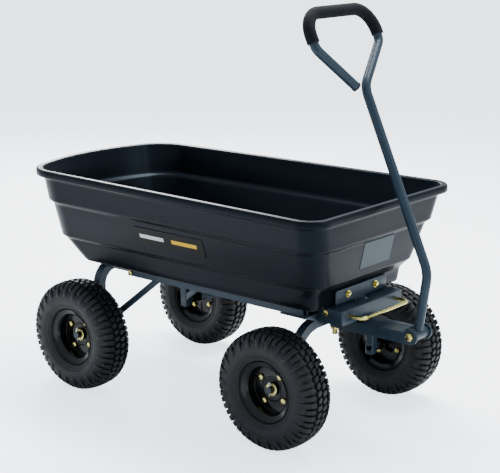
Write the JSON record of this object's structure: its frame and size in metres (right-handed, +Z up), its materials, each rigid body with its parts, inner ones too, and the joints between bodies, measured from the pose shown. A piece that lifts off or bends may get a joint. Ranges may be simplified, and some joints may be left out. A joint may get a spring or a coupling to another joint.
{
  "type": "garden dump cart",
  "caption": "Four-wheeled garden cart with a stepped plastic tub that tips backwards, a steering front axle, a bent pull handle with a foam grip and a spring latch.",
  "frame": {"origin": "on the ground, in the middle of the cart's length and width", "axes": "+X forward, towards the pull handle; +Y to the cart's left; +Z up"},
  "size_m": [1.016, 0.5154, 0.9048],
  "materials": {
    "tub_plastic": "semi-gloss moulded polyethylene",
    "frame_paint": "slate grey powder coat",
    "rim_paint": "gloss black paint",
    "tyre_rubber": "moulded rubber",
    "yellow_zinc": "yellow passivated zinc plate",
    "bright_zinc": "bright zinc plate",
    "bearing_steel": "ground steel",
    "foam": "closed cell foam",
    "cap_plastic": "satin",
    "label_film": "satin printed film"
  },
  "bodies": {
    "chassis": {"channel_bolts": "bright_zinc", "frame_rails": "frame_paint", "front_bolster": "frame_paint", "kingpin": "yellow_zinc", "kingpin_washers": "yellow_zinc", "latch_channel": "frame_paint", "mid_crossmember": "frame_paint", "pivot_ears": "frame_paint", "pivot_pins": "yellow_zinc", "rail_bolts": "yellow_zinc", "rear_axle_arch": "frame_paint", "rear_axle_washers": "yellow_zinc", "rear_braces": "frame_paint", "rear_cotter_pins": "bright_zinc", "rear_spindles": "frame_paint", "rear_stringers": "frame_paint"},
    "steering": {"front_axle_arch": "frame_paint", "front_axle_washers": "yellow_zinc", "front_cotter_pins": "bright_zinc", "front_spindles": "frame_paint", "handle_pivot_bolt": "yellow_zinc", "handle_pivot_nut": "yellow_zinc", "tongue": "frame_paint"},
    "handle": {"grip_foam": "foam", "handle_sleeve": "frame_paint", "handle_tube": "frame_paint", "tube_end_cap": "cap_plastic"},
    "tub": {"labels": "label_film", "latch_plate": "frame_paint", "latch_plate_bolts": "bright_zinc", "pivot_bracket_bolts": "bright_zinc", "pivot_brackets": "frame_paint", "tub": "tub_plastic"},
    "latch": {"latch_bar": "frame_paint", "latch_springs": "bright_zinc", "release_wire": "yellow_zinc"},
    "wheel_front_left": {"bearings_front_left": "bearing_steel", "hub_front_left": "rim_paint", "rim_bolts_front_left": "yellow_zinc", "rim_inner_front_left": "rim_paint", "rim_outer_front_left": "rim_paint", "tyre_front_left": "tyre_rubber"},
    "wheel_front_right": {"bearings_front_right": "bearing_steel", "hub_front_right": "rim_paint", "rim_bolts_front_right": "yellow_zinc", "rim_inner_front_right": "rim_paint", "rim_outer_front_right": "rim_paint", "tyre_front_right": "tyre_rubber"},
    "wheel_rear_left": {"bearings_rear_left": "bearing_steel", "hub_rear_left": "rim_paint", "rim_bolts_rear_left": "yellow_zinc", "rim_inner_rear_left": "rim_paint", "rim_outer_rear_left": "rim_paint", "tyre_rear_left": "tyre_rubber"},
    "wheel_rear_right": {"bearings_rear_right": "bearing_steel", "hub_rear_right": "rim_paint", "rim_bolts_rear_right": "yellow_zinc", "rim_inner_rear_right": "rim_paint", "rim_outer_rear_right": "rim_paint", "tyre_rear_right": "tyre_rubber"}
  },
  "joints": [
    {"name": "steer", "type": "hinge", "parent": "chassis", "child": "steering", "pos_m": [0.267, 0, 0.24], "axis": [0, 0, 1], "range_deg": [-24, 24]},
    {"name": "handle_swing", "type": "hinge", "parent": "steering", "child": "handle", "pos_m": [0.4805, 0, 0.24], "axis": [0, 1, 0], "range_deg": [0, 120]},
    {"name": "tub_tip", "type": "hinge", "parent": "chassis", "child": "tub", "pos_m": [-0.334, 0, 0.28], "axis": [0, -1, 0], "range_deg": [0, 50]},
    {"name": "latch_pull", "type": "slide", "parent": "chassis", "child": "latch", "axis": [1, 0, 0], "range_m": [0, 0.012], "stiffness_N_per_m": 500, "springref_m": -0.004, "deforming": ["latch_springs"]},
    {"name": "spin_front_left", "type": "hinge", "parent": "steering", "child": "wheel_front_left", "pos_m": [0.267, 0.2127, 0.13], "axis": [0, 1, 0], "continuous": true},
    {"name": "spin_front_right", "type": "hinge", "parent": "steering", "child": "wheel_front_right", "pos_m": [0.267, -0.2127, 0.13], "axis": [0, 1, 0], "continuous": true},
    {"name": "spin_rear_left", "type": "hinge", "parent": "chassis", "child": "wheel_rear_left", "pos_m": [-0.312, 0.2127, 0.13], "axis": [0, 1, 0], "continuous": true},
    {"name": "spin_rear_right", "type": "hinge", "parent": "chassis", "child": "wheel_rear_right", "pos_m": [-0.312, -0.2127, 0.13], "axis": [0, 1, 0], "continuous": true}
  ]
}
